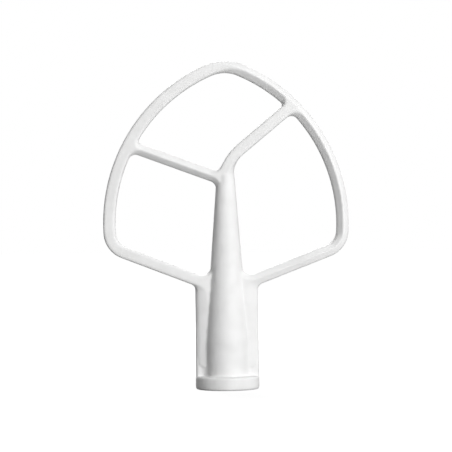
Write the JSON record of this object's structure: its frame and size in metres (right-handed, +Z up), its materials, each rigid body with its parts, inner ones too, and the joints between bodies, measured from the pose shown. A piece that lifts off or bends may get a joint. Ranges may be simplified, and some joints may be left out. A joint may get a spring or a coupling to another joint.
{
  "type": "stand mixer flat beater",
  "caption": "White coated flat beater for a stand mixer: an open arched blade with two inner arms on a tapered shaft, and a round hub with a bayonet drive socket.",
  "frame": {"origin": "centre of the drive socket's mouth, in the end face of the hub that the beater stands on", "axes": "+Z up the shaft from the hub to the top of the blade, X across the blade, -Y out of the blade's front side"},
  "size_m": [0.133, 0.0344, 0.1779],
  "materials": {
    "white_coating": "satin"
  },
  "bodies": {
    "root": {"beater_casting": "white_coating"}
  },
  "joints": []
}
